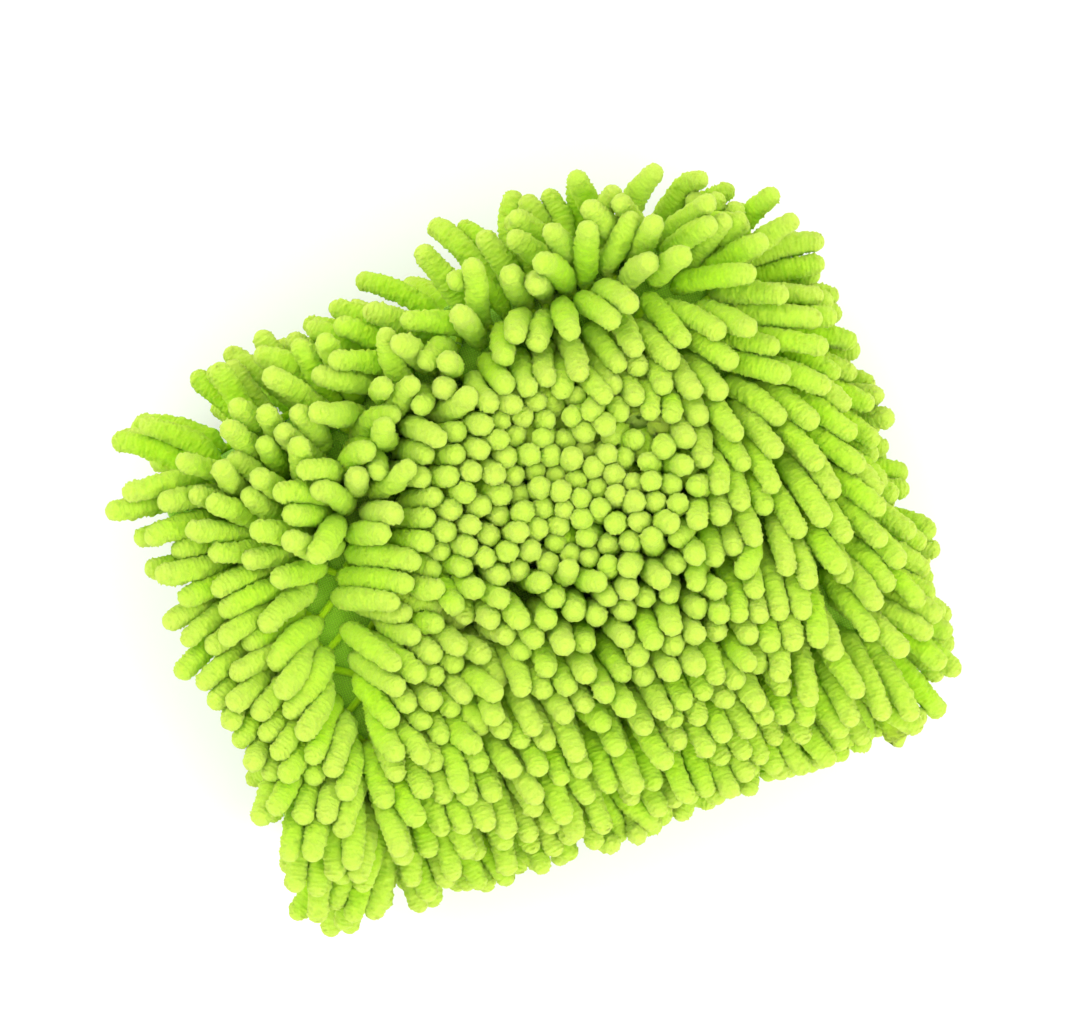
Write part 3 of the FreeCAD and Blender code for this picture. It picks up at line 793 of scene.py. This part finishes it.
def curve_through(points, samples):
    """Points and directions of smooth curves through each noodle's points, at shares from 0 to 1."""
    before = 2 * points[:, :1] - points[:, 1:2]
    beyond = 2 * points[:, -1:] - points[:, -2:-1]
    padded = np.concatenate((before, points, beyond), axis=1)
    place = np.clip(samples, 0, 1) * (JOINTS - 1)
    span = np.minimum(place.astype(int), JOINTS - 2)
    t = (place - span)[..., None]
    row = np.arange(len(points))[:, None]
    a, b, c, d = (padded[row, span + shift] for shift in range(4))
    second, third = 2 * a - 5 * b + 4 * c - d, 3 * b - a - 3 * c + d
    curve = 0.5 * (2 * b + (c - a) * t + second * t ** 2 + third * t ** 3)
    slope = 0.5 * ((c - a) + 2 * second * t + 3 * third * t ** 2)
    return curve, unit(slope)


def fuzz_patterns(count, rings):
    """Patterns of bumps round a noodle, coarse and fine together."""
    fine, coarse = random.normal(0, 1, (2, count, rings, SIDES))
    for _ in range(3):
        beside = (np.roll(coarse, step, axis) for axis in (2, 1) for step in (1, -1))
        coarse = sum(beside, coarse) / 5
    coarse /= coarse.std()
    return FUZZ_FINE * fine + FUZZ_COARSE * coarse


def noodle_meshes(points, lengths, radii):
    """Points and per-point values of each noodle, and the faces of one noodle."""
    count = len(points)
    shoulder = 1 - radii / lengths
    body = np.linspace(0, 1, RINGS) * shoulder[:, None]
    bend = np.linspace(0, math.pi / 2, DOME_RINGS + 2)[1:-1]
    dome = shoulder[:, None] + np.sin(bend) * (1 - shoulder)[:, None]
    samples = np.concatenate((body, dome), axis=1)
    rings = RINGS + DOME_RINGS
    curve, tangent = curve_through(points, samples)
    width = np.ones((count, rings))
    width[:, RINGS:] = np.cos(bend)
    travel = samples * lengths[:, None]
    width *= NECK + (1 - NECK) * smooth_step(0, NECK_LENGTH, travel)
    width *= 1 - TIP_TAPER * smooth_step(0.55, 1, samples)
    swell = 1 + SWELL * np.sin(travel / SWELL_LENGTH + random.uniform(0, 6, count)[:, None])
    side = np.zeros_like(tangent)
    side[:, 0] = unit(np.cross(tangent[:, 0], random.normal(0, 1, (count, 3))))
    for ring in range(1, rings):
        before, ahead = side[:, ring - 1], tangent[:, ring]
        side[:, ring] = unit(before - ahead * (before * ahead).sum(1)[:, None])
    fuzz = fuzz_patterns(PATTERNS, rings)[random.integers(0, PATTERNS, count)]
    ridge = RING_HEIGHT * np.sin(travel / RING_PITCH * 2 * math.pi)
    rough = (fuzz + ridge[:, :, None]) * width[:, :, None] ** 0.6
    radius = (radii[:, None] * swell * width)[:, :, None] + rough
    shell = curve[:, :, None] + spokes(side, np.cross(tangent, side), SIDES) * radius[..., None]
    tip = curve[:, -1] + tangent[:, -1] * (radii * (1 - math.sin(bend[-1])))[:, None]
    foot = curve[:, 0] - tangent[:, 0] * 0.3 * MM
    vertices = np.concatenate((shell.reshape(count, -1, 3), foot[:, None], tip[:, None]), axis=1)
    along = np.pad(np.repeat(samples, SIDES, axis=1), ((0, 0), (0, 2)), constant_values=(0, 1))
    along[:, -2] = 0
    tone = np.repeat(random.uniform(0, 1, count)[:, None], along.shape[1], axis=1)
    values = {"along": along, "rings": along * (lengths / RING_PITCH)[:, None], "tone": tone}
    return vertices, values, capped_faces(rings, SIDES)


def open_parting(faces, places):
    """Moves the roots that stand on the bare part of the parting to its two sides."""
    offset, _ = crest_offset(places)
    short = BARE_HALF_WIDTH - norm(offset, axis=1)
    bare = (faces == BACK) & (short > 0) & (places[:, 1] < BARE_END_Y) & (places[:, 1] > -0.8 * HALF_FLAT)
    places[bare] += (unit(offset) * short[:, None])[bare]


def thin_out(names, roots):
    """Which noodles to keep: fewer on the loop's side, and where the mouth is drawn in."""
    low, high = SPARSE_RUN
    sparse = np.char.find(names, "edge_row_left_lower") >= 0
    sparse &= (roots[:, 0] > low) & (roots[:, 0] < high)
    drawn = (roots[:, 1] > HALF_FLAT) & (roots[:, 0] < MOUTH_X + GATHER_LENGTH / 2)
    number = np.arange(len(names))
    return (~sparse | (number % 3 == 0)) & (~drawn | (number % 5 < 2))


def swing_over_edge(normals, faces, roots):
    """How far noodles on the loop's side lean up: tucked under on the palm, raised by the tip."""
    at_side = smooth_step(0.3, 0.9, normals[:, 1])
    near_tip = smooth_step(0.3 * HALF_SIZE[0], 0.55 * HALF_SIZE[0], roots[:, 0])
    return at_side * np.where(faces == PALM, -0.5, 1.1 * near_tip - 0.4)


def rooted_noodles():
    """Every noodle's row, its root, the way out there, the way it starts and the way it leans."""
    names, faces, places = place_noodles()
    open_parting(faces, places)
    roots, normals, lean = np.zeros((3, len(places), 3))
    for face in (BACK, PALM):
        mine = faces == face
        along, across = places[mine].T
        roots[mine] = surface(along, across, EDGE + 0.2 * MM, face)
        normals[mine] = surface_normal(along, across, face)
        flow = back_flow if face == BACK else palm_flow
        lean[mine, :2] = flow(roots[mine][:, :2])
    offset, _ = crest_offset(roots[:, :2])
    near = hill(offset, 11 * MM) * (faces == BACK)
    near *= smooth_step(BARE_END_Y, BARE_END_Y + 20 * MM, roots[:, 1])
    starts = 0.35 * lean * (1 - near)[:, None]
    starts[:, :2] -= 0.55 * unit(offset) * near[:, None]
    lean[:, 2] += swing_over_edge(normals, faces, roots)
    keep = thin_out(names, roots)
    return names[keep], roots[keep], normals[keep], starts[keep], lean[keep]


def make_noodles():
    """All the noodles. Gives back each row's roots and the ways out there, in order."""
    names, roots, normals, starts, lean = rooted_noodles()
    lean += random.normal(0, 0.13, lean.shape)
    lean -= normals * (lean * normals).sum(1, keepdims=True)
    lengths = NOODLE_LENGTH * random.uniform(*LENGTH_SPREAD, len(roots))
    at_tip = smooth_step(NOSE_X, NOSE_X + EDGE, roots[:, 0]) * smooth_step(60 * MM, 20 * MM, roots[:, 1])
    at_side = smooth_step(-HALF_FLAT, -HALF_FLAT - EDGE, roots[:, 1])
    lengths *= (1 + LONGER_AT_TIP * at_tip) * (1 + LONGER_AT_SIDE * at_side)
    radii = NOODLE_RADIUS * random.uniform(*WIDTH_SPREAD, len(roots))
    points = bend_to_rest(roots, normals, starts, lean, lengths, radii)
    vertices, values, faces = noodle_meshes(points, lengths, radii)
    rows = {}
    for name in sorted(set(names)):
        mine = names == name
        rows[name] = roots[mine], normals[mine]
        meshes = [(each, faces) for each in vertices[mine]]
        row_values = {key: numbers[mine].ravel() for key, numbers in values.items()}
        if name in frame["bodies"]:
            cord = row_cord(*rows[name])
            meshes.append(cord)
            row_values = {key: np.pad(numbers, (0, len(cord[0]))) for key, numbers in row_values.items()}
        new_piece(name, "pile", *merge(meshes), CHENILLE, "chenille", row_values)
    return rows


def row_cord(roots, normals):
    """The cord that threads a row's noodles, in lengths that end where the row is bare."""
    lengths = []
    gaps = norm(np.diff(roots, axis=0), axis=1)
    for run in np.split(np.arange(len(roots)), np.nonzero(gaps > CORD_SPAN)[0] + 1):
        if len(run) > 1:
            path = roots[run] + normals[run] * CORD_LIFT
            middles = (path[1:] + path[:-1]) / 2
            woven = np.concatenate((path[:1], np.stack((middles, path[1:]), axis=1).reshape(-1, 3)))
            lengths.append(tube(woven, CORD_RADIUS, 8))
    return merge(lengths)


# ---- cuff, bindings and trims

def mouth_stations(spacing):
    """Core places (y) and outward directions (y, z) once round the mouth."""
    corners = np.cumsum((0, 2 * HALF_FLAT, math.pi * EDGE, 2 * HALF_FLAT, math.pi * EDGE))
    run = np.arange(0, corners[-1] - spacing / 2, spacing)
    across = np.interp(run, corners, HALF_FLAT * np.array((1, -1, -1, 1, 1)))
    turn = np.interp(run, corners, math.pi * np.array((0, 0, 1, 1, 2)))
    return across, np.column_stack((-np.sin(turn), np.cos(turn)))


def ribbon_section(path, thickness):
    """The closed outline (x, radius) of a cloth ribbon along an open path of such points."""
    path = np.asarray(path, float)
    lengths = np.concatenate(([0], np.cumsum(norm(np.diff(path, axis=0), axis=1))))
    run = np.linspace(0, lengths[-1], max(int(lengths[-1] / (0.9 * MM)), 4))
    path = np.column_stack([np.interp(run, lengths, path[:, axis]) for axis in range(2)])
    tangent = unit(np.gradient(path, axis=0))
    side = np.column_stack((-tangent[:, 1], tangent[:, 0])) * thickness / 2
    start, end = path[:1] - tangent[:1] * thickness / 2, path[-1:] + tangent[-1:] * thickness / 2
    return np.concatenate((path + side, end, (path - side)[::-1], start))


def make_mouth_band(name, path, thickness, material, slot, ripple=0.0, rib=1.0):
    """A band of cloth round the mouth. Its ribs are waves of height ripple and pitch rib."""
    spacing = rib / 5 if ripple else 1.6 * MM
    across, out = mouth_stations(spacing)
    x, radius = ribbon_section(path, thickness).T
    wave = ripple * np.sin(np.arange(len(across)) * spacing / rib * 2 * math.pi)
    radius = radius + wave[:, None]
    x = np.broadcast_to(x, radius.shape)
    points = np.stack((x, across[:, None] + out[:, :1] * radius, out[:, 1:] * radius), axis=-1)
    points = soften(points.reshape(-1, 3)).reshape(points.shape)
    new_piece(name, "cloth", *skin(points, closed=True), material, slot)


def make_mouth():
    """The binding, the elastic, and the rib cuff folded round it."""
    thickness = BINDING_HIGH.z - EDGE
    outer, inner = BINDING_HIGH.z - thickness / 2, POCKET - thickness / 2
    front, leg = BINDING_LOW.x + thickness / 2, BINDING_HIGH.x
    path = [(leg, outer), (front + ROUND, outer), (front, outer - ROUND), (front, inner + ROUND),
            (front + ROUND, inner), (leg, inner)]
    make_mouth_band("mouth_binding", path, thickness, TAPE_WEAVE, "tape")

    low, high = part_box("cuff_elastic")
    elastic = high.z - ELASTIC_T / 2
    path = [(low.x, elastic), (high.x, elastic)]
    make_mouth_band("cuff_elastic", path, ELASTIC_T, ELASTIC_WEAVE, "elastic")
    turn = np.linspace(0, math.pi, 7)
    fold_x = CUFF_LOW.x + FOLD_HALF + PLY_T / 2
    fold = [(fold_x - FOLD_HALF * math.sin(t), elastic + FOLD_HALF * math.cos(t)) for t in turn]
    path = [(CUFF_HIGH.x, elastic + FOLD_HALF), *fold, (CUFF_HIGH.x, elastic - FOLD_HALF)]
    make_mouth_band("cuff_rib", path, PLY_T, RIB_KNIT, "knit", ripple=0.22 * MM, rib=2.8 * MM)


def seam_stations(start, spacing):
    """Core points and outward directions (plan) along the seam, round both corners."""
    straight, arc = NOSE_X - start, (EDGE + TAPE_HIGH.z) * math.pi / 2
    corners = np.cumsum((0, straight, arc, 2 * HALF_FLAT, arc, straight))
    run = np.linspace(0, corners[-1], int(corners[-1] / spacing) + 1)
    along = np.interp(run, corners, (start, NOSE_X, NOSE_X, NOSE_X, NOSE_X, start))
    across = np.interp(run, corners, HALF_FLAT * np.array((1, 1, 1, -1, -1, -1)))
    turn = np.interp(run, corners, math.pi / 2 * np.array((0, 0, 1, 1, 2, 2)))
    return np.column_stack((along, across)), np.column_stack((np.sin(turn), np.cos(turn)))


def on_seam(core, out, radius, height):
    """Points round the seam's nose, at that radius and that height above the seam."""
    turn = height / EDGE
    plan = core + out * ((radius + bulge(out)) * math.cos(turn))[:, None]
    return soften(np.column_stack((plan, np.full(len(plan), radius * math.sin(turn)))))


def make_seam():
    """The tape over the seam, and the line of stitches along its middle."""
    half, thickness = TAPE_HIGH.z, TAPE_HIGH.x - NOSE_X - EDGE
    section = ribbon_section([(EDGE + thickness / 2, -half), (EDGE + thickness / 2, half)], thickness)
    core, out = seam_stations(BINDING_HIGH.x + 1 * MM, 2 * MM)
    rings = [on_seam(core, out, radius, height) for radius, height in section]
    new_piece("seam_tape", "cloth", *skin(np.stack(rings, axis=1)), TAPE_WEAVE, "tape")

    top = EDGE + thickness + 0.6 * THREAD_RADIUS
    core, out = seam_stations(BINDING_HIGH.x + STITCH_PITCH, STITCH_PITCH)
    forward = np.column_stack((out[:, 1], -out[:, 0]))
    stitches = []
    for share, sunk in STITCH:
        moved = on_seam(core, out, top - sunk * THREAD_RADIUS, 0)
        moved[:, :2] += forward * share * STITCH_LENGTH
        stitches.append(moved)
    make_threads("seam_stitches", np.stack(stitches, axis=1))


def make_threads(name, paths):
    """A sub-part of short threads, each a thin tube along its path."""
    new_piece(name, "thread", *merge([tube(path, THREAD_RADIUS, 6) for path in paths]), THREAD, "thread")


def make_mouth_stitches():
    """Stitches on the binding, and short threads from the lining to the cuff."""
    outside, held = [], []
    x = (BINDING_HIGH.x + MOUTH_X) / 2 + 1.6 * MM
    top = BINDING_HIGH.z + 0.6 * THREAD_RADIUS
    for sign in (1, -1):
        for y in np.arange(-HALF_FLAT, HALF_FLAT, STITCH_PITCH):
            path = [(x, y + share * STITCH_LENGTH, sign * (top - sunk * THREAD_RADIUS))
                    for share, sunk in STITCH]
            outside.append(soften(np.array(path)))
        for y in np.arange(-HALF_FLAT + STITCH_PITCH, HALF_FLAT, 2 * STITCH_PITCH):
            path = [(CUFF_HIGH.x - 3 * MM, y, sign * radius) for radius in
                    np.linspace(POCKET + 0.2 * MM, CUFF_HIGH.z - PLY_T / 2, 3)]
            held.append(soften(np.array(path)))
    make_threads("binding_stitches", outside)
    make_threads("cuff_stitches", held)


def make_staples(rows):
    """Thread staples over the cords, in every fifth gap between noodles."""
    turn = np.linspace(-0.2, math.pi + 0.2, 7)[:, None]
    bow = CORD_RADIUS + THREAD_RADIUS
    for label in FACES:
        paths = []
        for roots, normals in (row for name, row in rows.items() if name.startswith(label)):
            for first in range(0, len(roots) - 1, STAPLE_EVERY):
                pair = slice(first, first + 2)
                run = roots[first + 1] - roots[first]
                normal = unit(normals[pair].sum(axis=0))
                side = unit(np.cross(run, normal))
                path = roots[pair].sum(axis=0) / 2 + bow * (np.cos(turn) * side + np.sin(turn) * normal)
                if norm(run) <= CORD_SPAN:
                    paths.append(path + normal * CORD_LIFT)
        make_threads(f"row_staples_{label}", paths)


def loop_frame():
    """The loop's pivot and axis, the way and distance to its eye, and its radius and width."""
    swing = next(each for each in frame["joints"] if each["child"] == "hanging_loop")
    mount = next(each for each in frame["record"]["mounts"] if each["name"] == "hook_loop")
    pivot, axis = np.array(swing["pos_m"]), unit(np.array(swing["axis"], float))
    to_eye = np.array(mount["pos_m"]) - pivot
    dims = mount["dims"]
    return pivot, axis, unit(to_eye), norm(to_eye), dims["r_mm"] * MM, dims["length_mm"] * MM


def rounded(path):
    """A closed path with its corners cut to smooth curves."""
    for _ in range(3):
        middles = (path + np.roll(path, -1, axis=0)) / 2
        eased = (path + (np.roll(middles, 1, axis=0) + middles) / 2) / 2
        path = np.stack((eased, middles), axis=1).reshape(-1, 2)
    return path[::3]


def make_loop():
    """The hanging loop: a ring of tape whose plies close on the bartack."""
    pivot, axis, away, reach, radius, width = loop_frame()
    side = np.cross(axis, away)
    radius += LOOP_T / 2
    eye = BAR_RADIUS + HAIR + LOOP_T / 2
    ring = np.radians(np.linspace(-150, 150, 41))
    wrap = np.radians(np.linspace(90, 270, 9))
    path = rounded(np.concatenate([
        np.column_stack((reach + radius * np.cos(ring), radius * np.sin(ring))),
        np.column_stack((eye * np.cos(wrap), eye * np.sin(wrap))),
    ]))
    tangent = unit(np.roll(path, -1, 0) - np.roll(path, 1, 0))
    outward = np.column_stack((tangent[:, 1], -tangent[:, 0]))
    section = ribbon_section([(0, -width / 2 + LOOP_T / 2), (0, width / 2 - LOOP_T / 2)], LOOP_T)
    flat = path[:, None] + outward[:, None] * section[:, :1]
    points = pivot + flat[..., :1] * away + flat[..., 1:] * side + section[:, 1:] * axis
    new_piece("hanging_loop", "tape", *skin(points, closed=True), TAPE_WEAVE, "tape")


def make_bartack():
    """The bar that the loop swings on, with a leg at each end down to the binding."""
    pivot, axis, *_, width = loop_frame()
    half = width / 2 + 3 * BAR_RADIUS
    leg = np.array((BINDING_LOW.x - pivot[0] + 0.3 * MM, 0, 0))
    paths = [pivot + np.linspace(-half, half, 9)[:, None] * axis]
    for way in (1, -1):
        paths.append(pivot + way * (half - BAR_RADIUS) * axis + np.linspace(0, 1, 3)[:, None] * leg)
    bartack = merge([tube(path, BAR_RADIUS, 10) for path in paths])
    new_piece("loop_bartack", "thread", *bartack, THREAD, "thread")


def make_label():
    """A blank label on the palm side's lining, its far edge a little lifted."""
    rows, columns = 20, 16
    low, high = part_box("care_label")
    x, y = crossed(np.linspace(low.x, high.x, rows), np.linspace(low.y, high.y, columns))
    lift = 0.8 * MM * smooth_step(low.x, high.x, x) ** 2
    heights = (HAIR + high.z - low.z, HAIR)
    points = np.concatenate([soften(np.column_stack((x, y, each + lift - POCKET))) for each in heights])
    new_piece("care_label", "cloth", points, shell_faces(rows, columns), LABEL_CLOTH, "label")


# ---- stage

CAMERA_TURN = (0.934, 0.357)  # cosine and sine of the camera's turn about Z
CAMERA_AIM = (0.006, 0.004, 0.02)
CAMERA_DISTANCE = 1.0
VIEW_WIDTH = 0.354  # what the picture's width takes in at the aim
WORLD_STRENGTH = 1.2
# Each light's name, place, size and power in watts.
LIGHTS = (("key", (0.42, -0.75, 0.85), 0.55, 5), ("fill", (-0.5, 0.6, 0.9), 1.0, 4))


def add_light(name, place, size, power):
    """A soft round light that faces the mitt."""
    light = new_object(name, bpy.data.lights.new(name, "AREA"))
    light.data.shape = "DISK"
    light.data.size = size
    light.data.energy = power
    light.location = place
    light.rotation_euler = mathutils.Vector(place).to_track_quat("Z", "Y").to_euler()


def make_stage():
    """A plain pale floor, soft lights, and the camera over the back of the mitt."""
    bpy.ops.mesh.primitive_plane_add(size=6, location=(0, 0, BOX_LOW[2] - 1 * MM))
    floor = bpy.context.object
    shader = Shader("floor", roughness=0.9, sheen=0.0)
    shader.set("Base Color", (0.93, 0.93, 0.93, 1))
    floor.data.materials.append(shader.material)

    world = bpy.data.worlds.new("studio")
    world.use_nodes = True
    background = world.node_tree.nodes["Background"].inputs
    background["Color"].default_value = (1, 1, 1, 1)
    background["Strength"].default_value = WORLD_STRENGTH
    bpy.context.scene.world = world

    for light in LIGHTS:
        add_light(*light)

    camera = new_object("camera", bpy.data.cameras.new("camera"))
    turn_cos, turn_sin = CAMERA_TURN
    matrix = np.eye(4)
    matrix[:2, :2] = (turn_cos, turn_sin), (-turn_sin, turn_cos)
    matrix[:3, 3] = CAMERA_AIM + np.array((0, 0, CAMERA_DISTANCE))
    camera.matrix_world = mathutils.Matrix(matrix.tolist())
    camera.data.lens = camera.data.sensor_width * CAMERA_DISTANCE / VIEW_WIDTH
    bpy.context.scene.camera = camera
    bpy.context.scene.view_settings.view_transform = "Standard"


make_layers()
make_mouth()
make_seam()
make_mouth_stitches()
make_loop()
make_bartack()
make_label()
make_staples(make_noodles())
make_stage()
